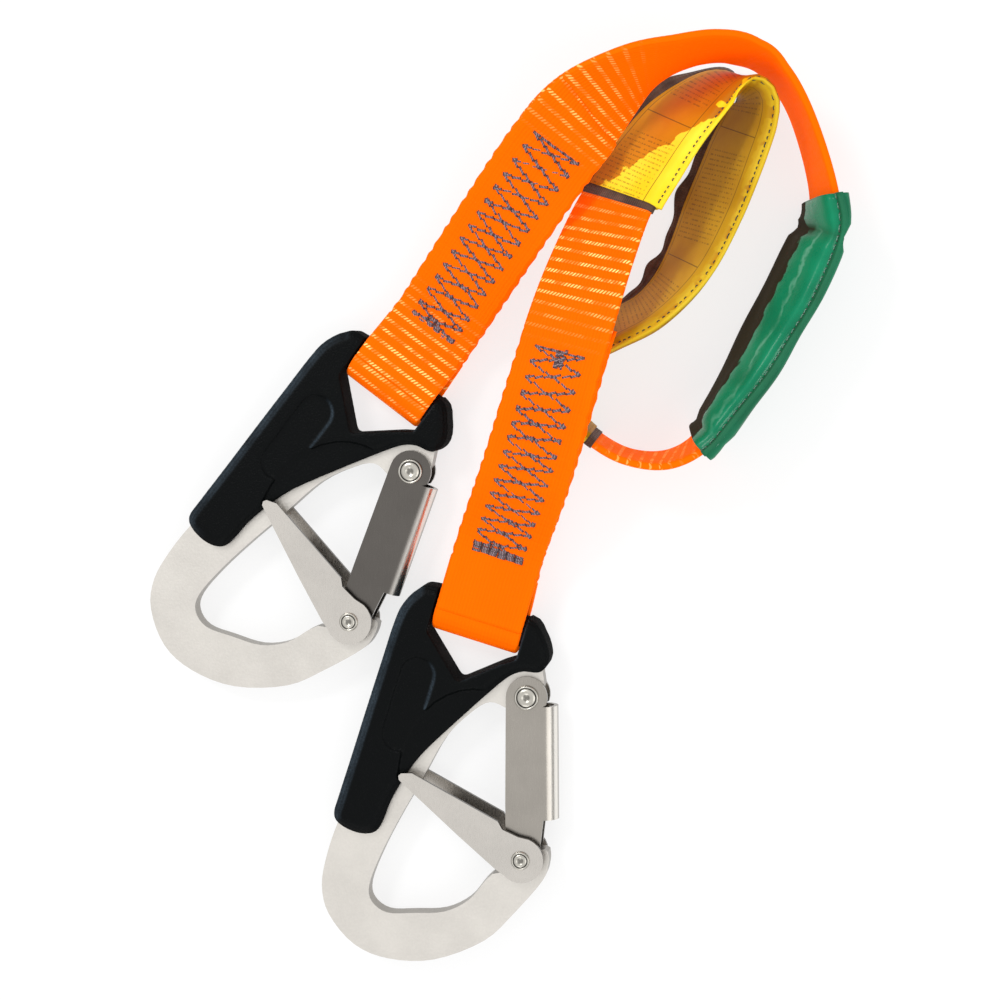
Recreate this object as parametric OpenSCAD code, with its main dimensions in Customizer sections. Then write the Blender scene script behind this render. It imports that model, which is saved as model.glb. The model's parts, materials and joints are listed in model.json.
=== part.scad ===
// Two-hook safety tether with an overload indicator.
// It lies on a surface at z = 0: hooks flat, webbing legs rising over each other, and the
// rest of the band standing on its edge. Millimetres, +Z up, origin below the middle.

/* [Webbing] */
// Width of the band
webbing_w = 25; // [24:0.5:25]
// Thickness of one layer
webbing_t = 2; // [1.6:0.1:2]

/* [Safety hook] */
// Thickness of the hook's plate
plate_t = 5; // [4:0.5:5]
// Thickness of the gate's and the lever's sheet
sheet_t = 1.2; // [1:0.1:1.2]
// Inner gap of the gate's channel
gate_gap = 5.6; // [5.4:0.1:5.6]
// Inner gap of the lever's fork
lever_gap = 10; // [9.8:0.1:10]
// Diameter of the rivets' shanks
pin_d = 4; // [3:0.5:4]
// Diameter of the bar that the webbing turns on
bar_d = 9; // [8.6:0.1:9]
// Radial clearance of everything that turns on a shaft
running = 0.05; // [0.02:0.01:0.1]

/* [Indicator sleeve] */
// Width of the sleeve, without its seam
sleeve_w = 27; // [26.8:0.1:28]
// Thickness of the sleeve
sleeve_t = 8.4; // [8:0.1:8.6]
// Wall of the sleeve
sleeve_wall = 0.7; // [0.5:0.1:0.8]
// Width of the sewn seam that stands out of its upper edge
seam_w = 2.6; // [2:0.1:3]

/* [Label sleeve] */
// Width of the label's cover
cover_w = 27.4; // [27.2:0.1:28]
// Thickness of the label's cover
cover_t = 4; // [3.8:0.1:4]
// Wall of the cover, and of the lining inside it
cover_wall = 0.4; // [0.3:0.05:0.4]

/* [Hidden] */

// Where each hook lies: x and y of its gate pivot, and its turn about Z
HOOKS = [[-23.5, 8.5, -20], [9, -54, 0.5]];
hook_z = 7;              // the hooks' middle plane
base = [1.52, 3.53, -0.05];   // puts the middle of everything over the origin

// In a hook's own frame: the gate pivot is the origin and the gate points down
lever_pivot = [-1.8, -45.4];
bar_at = [-13, 21.7];    // middle of the webbing bar
bar_turn = -17;          // the bar's direction
bar_half = 13;           // half of its clear length
lever_open = 45;         // how far the lever is squeezed
gate_open = 36;          // how far the gate has swung in by then
spine_x = 4.4;           // where the gate's flanks end and its round spine begins
spine_top = 2.6;         // how far below the gate pivot the spine starts

bar_along = [cos(bar_turn), sin(bar_turn)];
bar_out = [-sin(bar_turn), cos(bar_turn)];
gate_w = gate_gap + 2 * sheet_t;
lever_w = lever_gap + 2 * sheet_t;
loop_in = bar_d / 2 + 0.25;      // the loops are slack on their bars
loop_mid = loop_in + webbing_t / 2;
layer_step = webbing_t + 0.05;   // from one sewn layer's middle to the next one's

// ---- the band's route: middle of the band, then where its upper edge points, as azimuth
// ---- and elevation. It runs from hook 1's bar to hook 2's bar.
function hook_point(n, p) = let (h = HOOKS[n - 1])
  [h[0] + p[0] * cos(h[2]) - p[1] * sin(h[2]), h[1] + p[0] * sin(h[2]) + p[1] * cos(h[2])];
function at_bar(n, z, edge) = concat(hook_point(n, bar_at), [z, edge, 0]);
ROUTE = [
  at_bar(1, hook_z - loop_mid, 143),
  [-16.3, 49.3, 7.4, 143, 0],
  [7.8, 81.2, 21.2, 143, 3],
  [19.3, 96.2, 25.7, 143, 15],
  [27.5, 105, 28, 143, 35],
  [38, 112.8, 28.5, 130, 62],
  [48, 117.6, 26.5, 95, 78],
  [58, 120.3, 23.3, 60, 80],
  [67, 119.8, 19.5, 50, 81],
  [75, 115.4, 16.3, 40, 82],
  [82.5, 103.5, 13.7, 14, 81],
  [88.5, 82, 13.9, -8, 76],
  [86, 69, 14, -22, 66],
  [74, 45, 14, -27, 67],
  [62.5, 25.5, 14.2, -30, 76],
  [56, 17, 14.15, -40, 80],
  [47, 12.5, 13, -65, 84],
  [37, 13.2, 13, -90, 87],
  [28.5, 17.6, 13.4, -100, 88],
  [22, 24, 13.8, -60, 86],
  [20, 32.5, 13.8, -45, 82],
  [24, 41, 13.6, -50, 76],
  [32, 46.8, 13.4, -55, 70],
  [43, 53, 13.3, -46, 68],
  [52.5, 64, 13, -29, 62],
  [59.3, 79, 12.6, -19, 56],
  [65, 93.5, 12.4, -14, 56],
  [68.8, 102.5, 12.8, -15, 60],
  [70, 108.5, 13.3, -20, 65],
  [66.5, 112.3, 13.8, -28, 66],
  [59.5, 110.8, 14.8, -36, 60],
  [50, 102.7, 17.3, -41, 50],
  [41, 91, 20, -38, 42],
  [34, 80.3, 22.5, -30, 37],
  [28.3, 66, 26.4, -20, 28],
  [23.5, 51, 29.8, -17, 20],
  [17.5, 30.5, 30.8, -16.5, 13],
  [10, 8, 24, -16.5, 6],
  [1.5, -13.2, 12.6, -16.5, 0],
  at_bar(2, hook_z + loop_mid, -16.5)
];
BAR_1 = 0;               // places on the route, as its points' numbers
TAIL_1 = 4;
SLEEVE_TOP = 11;
SLEEVE_END = 15;
LABEL_START = 18;
LABEL_END = 33;
TAIL_2 = 35;
JOIN_2 = 38;
ring_step = 7.6;         // distance between the band's rings
leg_1_turn = 53;         // direction in which each leg leaves its bar
leg_2_turn = 73.5;

// ---- curves and frames
function unit(v) = v / norm(v);
function spline(a, b, c, d, t) =
  (2 * b + (c - a) * t + (2 * a - 5 * b + 4 * c - d) * t * t
   + (3 * b - a - 3 * c + d) * t * t * t) / 2;
function between(list, i, t) =
  spline(list[max(i - 1, 0)], list[i], list[i + 1], list[min(i + 2, len(list) - 1)], t);
// A smooth line through a few points
function smooth(list, steps = 4) = concat(
  [for (i = [0 : len(list) - 2]) for (k = [0 : steps - 1]) between(list, i, k / steps)],
  [list[len(list) - 1]]);
function round_loop(list, steps = 3) = [for (i = [0 : len(list) - 1]) for (k = [0 : steps - 1])
  let (n = len(list))
  spline(list[(i + n - 1) % n], list[i], list[(i + 1) % n], list[(i + 2) % n], k / steps)];
function arc(centre, r, from, to, steps) =
  [for (k = [0 : steps]) let (a = from + (to - from) * k / steps)
    centre + r * [cos(a), sin(a)]];
function upper_edge(r) = [cos(r[3]) * cos(r[4]), sin(r[3]) * cos(r[4]), sin(r[4])];

places = [for (r = ROUTE) [r[0], r[1], r[2]]];
edges = [for (r = ROUTE) upper_edge(r)];
// Samples along the route: place, edge direction, and number along the route
samples = concat(
  [for (i = [0 : len(ROUTE) - 2])
    let (n = max(1, round(norm(places[i + 1] - places[i]) / ring_step)))
    for (k = [0 : n - 1])
      [between(places, i, k / n), edges[i] * (1 - k / n) + edges[i + 1] * k / n, i + k / n]],
  [[places[len(places) - 1], edges[len(edges) - 1], len(ROUTE) - 1]]);

// A frame is [middle, forward, across, out of the face, number along the route]
// It faces level where the band meets a loop
function frame(a, s, b, level) =
  let (way = b - a,
       flat = cross(s[1], [0, 0, 1]),
       forward = unit(level ? flat * sign(flat * way) : way),
       across = unit(s[1] - (s[1] * forward) * forward))
  [s[0], forward, across, cross(forward, across), s[2]];
function frames(s) = [for (i = [0 : len(s) - 1])
  frame(s[max(i - 1, 0)][0], s[i], s[min(i + 1, len(s) - 1)][0], i == 0 || i == len(s) - 1)];
band_frames = frames(samples);
function stretch(from, to) = [for (f = band_frames) if (f[4] >= from && f[4] <= to) f];
function moved(list, out) = [for (f = list) [f[0] + f[3] * out, f[1], f[2], f[3], f[4]]];
function lengths(f) =
  [for (i = 0, d = 0; i < len(f); d = d + norm(f[min(i + 1, len(f) - 1)][0] - f[i][0]), i = i + 1) d];
// The frame at distance d along a list of frames
function at(f, far, d) =
  let (i = max([for (k = [0 : len(f) - 2]) far[k] <= d ? k : 0]),
       t = (d - far[i]) / (far[i + 1] - far[i]))
  [for (k = [0 : 4]) f[i][k] * (1 - t) + f[i + 1][k] * t];

// ---- sweeps
// Cross-section of a band: a flat strip with eased edges
function strip(w, t) =
  let (c = min(t * 0.3, 1.2))
  [[-w / 2 + c, -t / 2], [w / 2 - c, -t / 2], [w / 2, -t / 2 + c], [w / 2, t / 2 - c],
   [w / 2 - c, t / 2], [-w / 2 + c, t / 2], [-w / 2, t / 2 - c], [-w / 2, -t / 2 + c]];
// The same with a flange on the upper edge
function flanged(w, t, flange, flange_t) =
  let (c = min(t * 0.3, 1.2), e = w / 2)
  [[-e + c, -t / 2], [e - c, -t / 2], [e, -t / 2 + c], [e, -flange_t / 2],
   [e + flange, -flange_t / 2], [e + flange, flange_t / 2], [e, flange_t / 2],
   [e, t / 2 - c], [e - c, t / 2], [-e + c, t / 2], [-e, t / 2 - c], [-e, -t / 2 + c]];

module sweep(f, section) {
  m = len(section);
  n = len(f);
  polyhedron(
    points = [for (s = f) for (q = section) s[0] + q[0] * s[2] + q[1] * s[3]],
    faces = concat(
      [[for (k = [0 : m - 1]) k]],
      [[for (k = [m - 1 : -1 : 0]) (n - 1) * m + k]],
      // both faces of a strip are split along the same diagonals, so that layers nest
      [for (i = [0 : n - 2]) for (k = [0 : m - 1]) let (l = (k + 1) % m, a = i * m, b = a + m)
        each section[k][1] + section[l][1] > 0
          ? [[a + k, b + k, a + l], [b + k, b + l, a + l]]
          : [[a + k, b + k, b + l], [a + k, b + l, a + l]]]));
}

// A thin block on a frame: half sizes along, across and out, turned in the face
module thread(f, along, across, out, turn = 0) {
  u = f[1] * cos(turn) + f[2] * sin(turn);
  v = f[2] * cos(turn) - f[1] * sin(turn);
  sweep([[f[0] - u * along, u, v, f[3]], [f[0] + u * along, u, v, f[3]]],
    [[-across, -out], [across, -out], [across, out], [-across, out]]);
}

// ---- placing
module laid() { translate(base) children(); }
module on_hook(n) {
  h = HOOKS[n - 1];
  translate([h[0], h[1], hook_z]) rotate([0, 0, h[2]]) children();
}
module plate(shape, t) { linear_extrude(t, center = true) polygon(shape); }
module both_sides() { children(); mirror([0, 0, 1]) children(); }

// ---- hook outlines
bow_outside = smooth([[-51, -31], [-54.4, -37], [-57.6, -46], [-59.3, -55], [-57.4, -63.4],
  [-50.2, -71.9], [-40.3, -75.7], [-27.1, -75.5], [-12.8, -69.6], [-4, -61.2], [3.9, -51.9],
  [5.7, -47], [5.6, -43.6]]);
bow_inside = smooth([[-10.2, -50.4], [-12.4, -52.5], [-17, -58], [-24, -61.6], [-33, -62.3],
  [-40.5, -62.4], [-44.9, -59.3], [-45.5, -54.5], [-42.2, -46], [-37, -36], [-30, -24],
  [-23.2, -12.1], [-16, -4.9], [-10.5, -1.7], [-5.7, -3.4]]);
body_outline = concat(
  bow_outside,
  [[4.6, -43], [2.4, -43.1], [1.6, -43.9], [1.6, -49.7], [-8, -49.9]],
  bow_inside,
  arc([0, 0], 4.2, 245, 370, 8),
  [[4.9, 3.5], [4.4, 7], [4.5, 11.5], [3, 16.8], [0.1, 20.3], [-24.7, 27.9], [-29, 27.3],
   [-32, 24.5], [-34, 20], [-37.8, 9], [-42.5, -4.5], [-47, -18.5]]);
body_slot = [[-27.6, 23.5], [-29.4, 18], [-21.2, 4.2], [-19.3, 2.9], [-17.3, 3.1],
  [-6.2, 8], [-0.8, 9.8], [0.2, 15.1]];
grip_corners = [[-24.5, 30.7], [-30, 30.1], [-34.4, 26], [-37, 20.8], [-40.7, 9.9],
  [-45.3, -3.8], [-49.8, -17.5], [-53.5, -28.5], [-55.1, -34.4], [-52.4, -37.6], [-47.5, -39.4],
  [-43.3, -38.9], [-41.1, -35.8], [-38.9, -30.3], [-35.2, -23.9], [-29.8, -16.6],
  [-19.9, -7.2], [-11.6, 0.3], [-5.1, 5.7], [-0.8, 7.3], [4, 7.2], [6.6, 11.2], [4.8, 17.7],
  [-0.1, 22.7]];
slot_outline = [[-27.6, 18.4], [-19.9, 5.4], [-19.2, 4.7], [-18.2, 4.7], [-6.7, 9.6], [-2.8, 10.8],
  [-5, 20], [-25, 26]];

// An outline drawn in by d, each point along the bisector of its sides
function drawn_in(p, d) = [for (i = [0 : len(p) - 1])
  let (a = p[(i + len(p) - 1) % len(p)], b = p[(i + 1) % len(p)], t = unit(b - a))
  p[i] + d * [-t[1], t[0]]];

// Where a point of the lever is when the lever has been squeezed by a
function turned(p, a) = [p[0] * cos(a) - p[1] * sin(a), p[0] * sin(a) + p[1] * cos(a)];
function squeezed(p, a) =
  turned(lever_pivot + turned(p - lever_pivot, -a), -a * gate_open / lever_open);
lever_tip = [-35.9, -23.4];
// The part of the spine that the lever's fork passes over
swept = concat([for (a = [0 : 5 : lever_open]) squeezed(lever_tip + [-0.6, 0.6], a)],
  [[-6, -4], [-20, -30], [-34, -40]]);

// ---- hook parts
module hook_body() {
  color("gainsboro") difference() {
    plate(body_outline, plate_t);
    plate(body_slot, plate_t + 1);
    cylinder(d = pin_d, h = plate_t + 1, center = true, $fn = 48);
  }
}

module grip_layer(inset, half, spare) {
  difference() {
    plate(round_loop(drawn_in(grip_corners, inset)), 2 * half);
    if (spare) plate(swept, 20);
  }
}

module hook_grip() {
  color("#161616") difference() {
    union() {
      difference() {
        union() {
          grip_layer(0, 4.8, false);
          grip_layer(1.2, 5.4, true);
          grip_layer(2.2, 5.8, true);
        }
        plate(slot_outline, 20);
        translate([bar_at[0], bar_at[1], 0]) rotate([0, 0, bar_turn])
          translate([-bar_half, -7.4, -10]) cube([2 * bar_half, 30, 20]);
        both_sides() translate([0, 0, 5.1]) linear_extrude(2) polygon(concat(
          arc([-30.4, 6.2], 5, -15, 165, 12), arc([-35.8, -10.6], 5, 165, 345, 12)));
      }
      translate([bar_at[0], bar_at[1], 0]) rotate([0, 90, bar_turn])
        cylinder(d = bar_d, h = 2 * bar_half + 1, center = true, $fn = 64);
    }
    difference() {
      plate(body_outline, plate_t);
      plate(body_slot, plate_t + 1);
    }
  }
}

// A pressed channel: two flanks joined by a half-round spine on the hook's open side
module hook_gate() {
  flank = concat(
    arc([0, 0], 5.8, -20, 180, 14),
    [[-6.2, -29.6], [-6.2, -41]],
    arc(lever_pivot, 5, 180, 360, 14),
    [[3.6, -41], [4, -37.6], [spine_x, -34.5], [spine_x, -spine_top]]);
  color("silver") difference() {
    union() {
      difference() {
        plate(flank, gate_w);
        plate([[-9, 8], [9, 8], [9, -54], [-9, -54]], gate_gap);
      }
      translate([spine_x, -spine_top, 0]) rotate([90, 0, 0])
        linear_extrude(34.5 - spine_top) difference() {
        circle(d = gate_w, $fn = 48);
        circle(d = gate_gap, $fn = 48);
        translate([-10, -5]) square([10, 10]);
      }
    }
    cylinder(r = pin_d / 2 + running, h = gate_w + 1, center = true, $fn = 48);
    translate([lever_pivot[0], lever_pivot[1], 0])
      cylinder(d = pin_d, h = gate_w + 1, center = true, $fn = 48);
  }
}

module hook_gate_rivet() {
  color("whitesmoke") {
    cylinder(d = pin_d, h = gate_w + 0.2, center = true, $fn = 48);
    both_sides() translate([0, 0, gate_w / 2 + 0.05]) difference() {
      cylinder(r = 3.4, h = 0.85, $fn = 48);
      translate([0, 0, 0.45]) cylinder(r = 1.1, h = 1, $fn = 48);
    }
  }
}

module hook_gate_spring() {
  leaf = [[5.9, -11], [5.7, -31], [5.1, -31], [5.2, -11.3], [3.9, -9.2], [1.4, -7.8],
    [-1, -7.3], [-1, -6.7], [1.7, -7.1], [4.5, -8.8]];
  color("slategray") plate(leaf, gate_gap - 1.2);
}

module hook_lever() {
  outline = concat(
    [[-35.2, -21.6], [-32.2, -21.5], [-8, -34.6], [-6.8, -36.8]],
    [[-2.4, -38.8]],
    arc(lever_pivot, 6.4, 68, -140, 16),
    [[-9, -47.9], [-19.3, -38.8], [-34.9, -24.4], lever_tip, [-36, -22.3]]);
  inside = [[-60, 0], [-60, -30], [-26.2, -33.7], [-25.2, -32], [-18.4, -37.8], [-12.3, -43.4],
    [-13.4, -44.6], [-20, -70], [20, -70], [20, 0]];
  color("silver") difference() {
    plate(outline, lever_w);
    plate(inside, lever_gap);
    translate([lever_pivot[0], lever_pivot[1], 0])
      cylinder(r = pin_d / 2 + running, h = lever_w + 1, center = true, $fn = 48);
  }
}

module hook_lever_rivet() {
  color("whitesmoke") translate([lever_pivot[0], lever_pivot[1], 0]) {
    cylinder(d = pin_d, h = lever_w + 0.2, center = true, $fn = 48);
    cylinder(r = 2.6, h = gate_gap - 0.1, center = true, $fn = 48);
    both_sides() translate([0, 0, lever_w / 2 + 0.05]) difference() {
      cylinder(r = 2.6, h = 0.7, $fn = 48);
      translate([0, 0, 0.35]) cylinder(r = 1.1, h = 1, $fn = 48);
    }
  }
}

module hook_lever_spring() {
  wire = 0.7;
  coil = 3.4;
  color("slategray") both_sides()
    translate([lever_pivot[0], lever_pivot[1], (gate_w + lever_gap) / 4])
      linear_extrude(wire, center = true) {
        difference() {
          circle(r = coil, $fn = 48);
          circle(r = coil - wire, $fn = 48);
        }
        translate([coil - wire, 0]) square([wire, 5]);
        translate([-4.6, coil - wire]) square([4.6, wire]);
      }
}

// ---- webbing
module webbing() { color("darkorange") sweep(band_frames, strip(webbing_w, webbing_t)); }

// The loop round a bar, from one face of the band to the other
module webbing_eye(n) {
  color("darkorange") on_hook(n) translate([bar_at[0], bar_at[1], 0]) rotate([0, 0, bar_turn + 90])
    rotate([90, 0, 0]) linear_extrude(webbing_w, center = true) difference() {
      circle(r = loop_in + webbing_t, $fn = 64);
      circle(r = loop_in, $fn = 64);
      translate([0, -20]) square([20, 40]);
    }
}

// A sewn tail lies at a layer's distance along the leg, and its lead runs to the bar
function lead_points(end, turn, lead) = [for (q = lead)
  [[ROUTE[end][0] + q[0] * cos(turn), ROUTE[end][1] + q[0] * sin(turn), q[1]], edges[end], 0]];
lead_1 = lead_points(BAR_1, leg_1_turn,
  [[0, hook_z + loop_mid], [6, 12.7], [12.5, 10.6]]);
layer_1 = moved(stretch(BAR_1 + 1, TAIL_1), layer_step);
tail_1 = concat(
  [for (i = [0 : len(lead_1) - 1])
    frame(lead_1[max(i - 1, 0)][0], lead_1[i],
      i == len(lead_1) - 1 ? layer_1[0][0] : lead_1[i + 1][0], i == 0)],
  layer_1);
lead_2 = lead_points(len(ROUTE) - 1, leg_2_turn,
  [[12.5, 6.2], [6, 2.1], [0, hook_z - loop_mid]]);
layer_2 = moved(stretch(TAIL_2, JOIN_2), -layer_step);
tail_2 = concat(
  layer_2,
  [for (i = [0 : len(lead_2) - 1])
    frame(i == 0 ? layer_2[len(layer_2) - 1][0] : lead_2[i - 1][0], lead_2[i],
      lead_2[min(i + 1, len(lead_2) - 1)][0], i == len(lead_2) - 1)]);

module webbing_tail_1() { color("darkorange") sweep(tail_1, strip(webbing_w, webbing_t)); }
module webbing_tail_2() { color("darkorange") sweep(tail_2, strip(webbing_w, webbing_t)); }

// Zigzag rows through both layers of a leg
stitch_rows = 15;
stitch_from = 20;
row_step = 4.4;
module leg_stitching(f, out) {
  far = lengths(f);
  color("dimgray") for (row = [0 : stitch_rows - 1]) for (k = [0 : 3])
    thread(moved_in(at(f, far, stitch_from + row * row_step), (k - 1.5) * 4, out),
      0.35, 1.9, layer_step / 2 + webbing_t / 2 + 0.3, k % 2 == 0 ? 22 : -22);
}
function moved_in(f, across, out) =
  [f[0] + f[2] * across + f[3] * out, f[1], f[2], f[3], f[4]];
module leg_1_stitching() {
  leg_stitching(stretch(BAR_1, TAIL_1 + 1), layer_step / 2);
}
module leg_2_stitching() {
  f = stretch(TAIL_2 - 1, len(ROUTE) - 1);
  leg_stitching([for (k = [1 : len(f)]) f[len(f) - k]], -layer_step / 2);
}

// ---- overload indicator
sleeve_frames = stretch(SLEEVE_TOP, SLEEVE_END);
sleeve_length = max(lengths(sleeve_frames));
function longer(f, d) = let (n = len(f) - 1) concat(
  [[f[0][0] - f[0][1] * d, f[0][1], f[0][2], f[0][3], f[0][4]]], f,
  [[f[n][0] + f[n][1] * d, f[n][1], f[n][2], f[n][3], f[n][4]]]);
function shorter(f) = [for (i = [1 : len(f) - 2]) f[i]];

// The spare length of band folded flat on both faces inside the sleeve
module indicator_fold() {
  color("darkorange") for (side = [-1, 1])
    sweep(moved(shorter(sleeve_frames), side * layer_step), strip(webbing_w - 0.4, webbing_t));
}
module tear_stitching() {
  far = lengths(sleeve_frames);
  color("crimson") for (k = [2 : 6]) for (side = [-1, 1])
    thread(moved_in(at(sleeve_frames, far, sleeve_length * k / 8), side * 5, 0),
      0.4, 1.8, layer_step + webbing_t / 2 + 0.1, side * 15);
}
// An open tube with a flange: the outer skin, the inner skin, and a rim at each end
module flanged_tube(f, w, t, wall, flange) {
  outer = flanged(w, t, flange, 2 * wall);
  inner = strip(w - 2 * wall, t - 2 * wall);
  m = len(outer);
  h = len(inner);
  n = len(f);
  first = n * m;         // number of the inner skin's first point
  facing = [0, 1, 2, 7, 8, 9, 10, 11];   // the outer point beside each inner one
  rim = concat(
    [[3, 4, 5, 6]],
    [for (k = [0 : h - 1]) let (l = (k + 1) % h)
      k == 2 ? [2, 3, 6, 7, first + 3, first + 2]
             : [facing[k], facing[l], first + l, first + k]]);
  polyhedron(
    points = concat(
      [for (s = f) for (q = outer) s[0] + q[0] * s[2] + q[1] * s[3]],
      [for (s = f) for (q = inner) s[0] + q[0] * s[2] + q[1] * s[3]]),
    faces = concat(
      rim,
      [for (face = rim) [for (i = [len(face) - 1 : -1 : 0])
        face[i] < first ? face[i] + (n - 1) * m : face[i] + (n - 1) * h]],
      skin(outer, n, 0, false),
      skin(inner, n, first, true)));
}
// The triangles between the rings of one skin, split as in a sweep
function skin(section, n, first, inward) =
  [for (i = [0 : n - 2]) for (k = [0 : len(section) - 1])
    let (m = len(section), l = (k + 1) % m, a = first + i * m, b = a + m,
         pair = section[k][1] + section[l][1] > 0
           ? [[a + k, b + k, a + l], [b + k, b + l, a + l]]
           : [[a + k, b + k, b + l], [a + k, b + l, a + l]])
    for (face = pair) inward ? [face[2], face[1], face[0]] : face];
module indicator_sleeve() {
  color("seagreen") flanged_tube(sleeve_frames, sleeve_w, sleeve_t, sleeve_wall, seam_w);
}
module indicator_seam_stitching() {
  far = lengths(sleeve_frames);
  color("honeydew") for (k = [1 : 17])
    thread(moved_in(at(sleeve_frames, far, sleeve_length * (k - 0.5) / 17),
      sleeve_w / 2 + seam_w / 2, 0), 1.5, 0.3, sleeve_wall + 0.3);
}

// ---- label sleeve
label_frames = stretch(LABEL_START, LABEL_END);
label_length = max(lengths(label_frames));
module label_lining() {
  color("#5a4a42") difference() {
    sweep(label_frames, strip(cover_w - 2 * cover_wall, cover_t - 2 * cover_wall));
    sweep(longer(label_frames, 1), strip(cover_w - 4 * cover_wall, cover_t - 4 * cover_wall));
  }
}
module label_cover() {
  f = shorter(label_frames);
  color("gold") difference() {
    sweep(f, strip(cover_w, cover_t));
    sweep(longer(f, 1), strip(cover_w - 2 * cover_wall, cover_t - 2 * cover_wall));
  }
}
module label_seam_stitching() {
  far = lengths(label_frames);
  count = 44;
  color("#222222") for (k = [1 : count])
    thread(moved_in(at(label_frames, far, 9 + (label_length - 18) * k / (count + 1)),
      cover_w / 2 - 2.6, 0), 0.7, 0.3, cover_t / 2 + 0.2);
}

laid() on_hook(1) hook_body();  // hook_1_body
laid() on_hook(1) hook_grip();  // hook_1_grip
laid() on_hook(1) hook_gate();  // hook_1_gate
laid() on_hook(1) hook_gate_rivet();  // hook_1_gate_rivet
laid() on_hook(1) hook_gate_spring();  // hook_1_gate_spring
laid() on_hook(1) hook_lever();  // hook_1_lever
laid() on_hook(1) hook_lever_rivet();  // hook_1_lever_rivet
laid() on_hook(1) hook_lever_spring();  // hook_1_lever_spring
laid() on_hook(2) hook_body();  // hook_2_body
laid() on_hook(2) hook_grip();  // hook_2_grip
laid() on_hook(2) hook_gate();  // hook_2_gate
laid() on_hook(2) hook_gate_rivet();  // hook_2_gate_rivet
laid() on_hook(2) hook_gate_spring();  // hook_2_gate_spring
laid() on_hook(2) hook_lever();  // hook_2_lever
laid() on_hook(2) hook_lever_rivet();  // hook_2_lever_rivet
laid() on_hook(2) hook_lever_spring();  // hook_2_lever_spring
laid() webbing();
laid() webbing_eye(1);  // webbing_eye_1
laid() webbing_eye(2);  // webbing_eye_2
laid() webbing_tail_1();
laid() webbing_tail_2();
laid() leg_1_stitching();
laid() leg_2_stitching();
laid() indicator_fold();
laid() tear_stitching();
laid() indicator_sleeve();
laid() indicator_seam_stitching();
laid() label_lining();
laid() label_cover();
laid() label_seam_stitching();
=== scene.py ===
"""A webbing tether with two automatic hooks, an overload indicator and a label sleeve.

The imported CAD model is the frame. Its metal parts stay and get bevels and materials; the
webbing, its threads, the two sleeves and the moulded grips are replaced by detailed pieces.
"""

import json
import math
import random

import bmesh
import bpy
import numpy as np
from mathutils import Matrix, Vector


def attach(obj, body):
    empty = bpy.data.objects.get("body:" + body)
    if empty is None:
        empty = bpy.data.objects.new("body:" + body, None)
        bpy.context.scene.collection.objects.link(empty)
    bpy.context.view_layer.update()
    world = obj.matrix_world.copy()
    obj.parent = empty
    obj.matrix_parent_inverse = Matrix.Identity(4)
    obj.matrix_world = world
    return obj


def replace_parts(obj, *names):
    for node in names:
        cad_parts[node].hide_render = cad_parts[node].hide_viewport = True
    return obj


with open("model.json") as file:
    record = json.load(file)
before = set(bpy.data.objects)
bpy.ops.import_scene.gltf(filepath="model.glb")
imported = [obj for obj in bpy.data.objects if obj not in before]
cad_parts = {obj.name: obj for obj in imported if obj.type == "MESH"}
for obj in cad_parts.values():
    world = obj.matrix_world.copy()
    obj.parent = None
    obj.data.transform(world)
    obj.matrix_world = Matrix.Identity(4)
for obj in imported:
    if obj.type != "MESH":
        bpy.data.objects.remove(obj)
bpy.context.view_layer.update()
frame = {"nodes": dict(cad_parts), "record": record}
NODES = frame["nodes"]
JOINTS = {j["name"]: j for j in frame["record"]["behaviour"]["joints"]}
RNG = random.Random(7)
MM = 0.001

# ---------------------------------------------------------------- camera, floor and light

CAMERA_AT = (0.0805, 0.0455, 0.539)
LOOKED_AT = (0.0015, 0.0035, 0.0)


def aimed(place, target, up=Vector((0, 1, 0))):
    """The matrix of a camera or lamp at place that looks at target, with up upwards."""
    back = (Vector(place) - Vector(target)).normalized()
    right = up.cross(back).normalized()
    m = Matrix((right, back.cross(right), back)).transposed().to_4x4()
    m.translation = Vector(place)
    return m


camera = bpy.data.objects.new("camera", bpy.data.cameras.new("camera"))
camera.data.lens = 70
camera.matrix_world = aimed(CAMERA_AT, LOOKED_AT)
camera.data.clip_end = 20
bpy.context.scene.collection.objects.link(camera)
bpy.context.scene.camera = camera


def lamp(name, place, size, watts, colour=(1, 1, 1)):
    data = bpy.data.lights.new(name, "AREA")
    data.shape, data.size, data.energy, data.color = "DISK", size, watts, colour
    o = bpy.data.objects.new(name, data)
    o.matrix_world = aimed(place, (0, 0, 0), Vector((0.01, 1, 0)))
    bpy.context.scene.collection.objects.link(o)


lamp("key", (-0.55, 0.75, 1.1), 0.35, 6)
lamp("fill", (0.9, -0.3, 0.9), 0.9, 3)
lamp("front", (-0.2, -1.1, 0.7), 0.6, 2)
bpy.context.scene.view_settings.view_transform = "Standard"

# A white studio, dimmer near the horizon, so that metal edges have something dark to mirror
world = bpy.data.worlds.new("studio")
bpy.context.scene.world = world
world.use_nodes = True
sky = world.node_tree
direction = sky.nodes.new("ShaderNodeTexCoord").outputs["Generated"]
heights = sky.nodes.new("ShaderNodeSeparateXYZ")
sky.links.new(direction, heights.inputs[0])
fall = sky.nodes.new("ShaderNodeMapRange")
fall.interpolation_type = "SMOOTHSTEP"
for key, value in (("From Min", 0.05), ("From Max", 0.75), ("To Min", 0.4), ("To Max", 1.05)):
    fall.inputs[key].default_value = value
sky.links.new(heights.outputs[2], fall.inputs["Value"])
sky.nodes["Background"].inputs["Color"].default_value = (1, 1, 1, 1)
sky.links.new(fall.outputs[0], sky.nodes["Background"].inputs["Strength"])


# ---------------------------------------------------------------- materials


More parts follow.
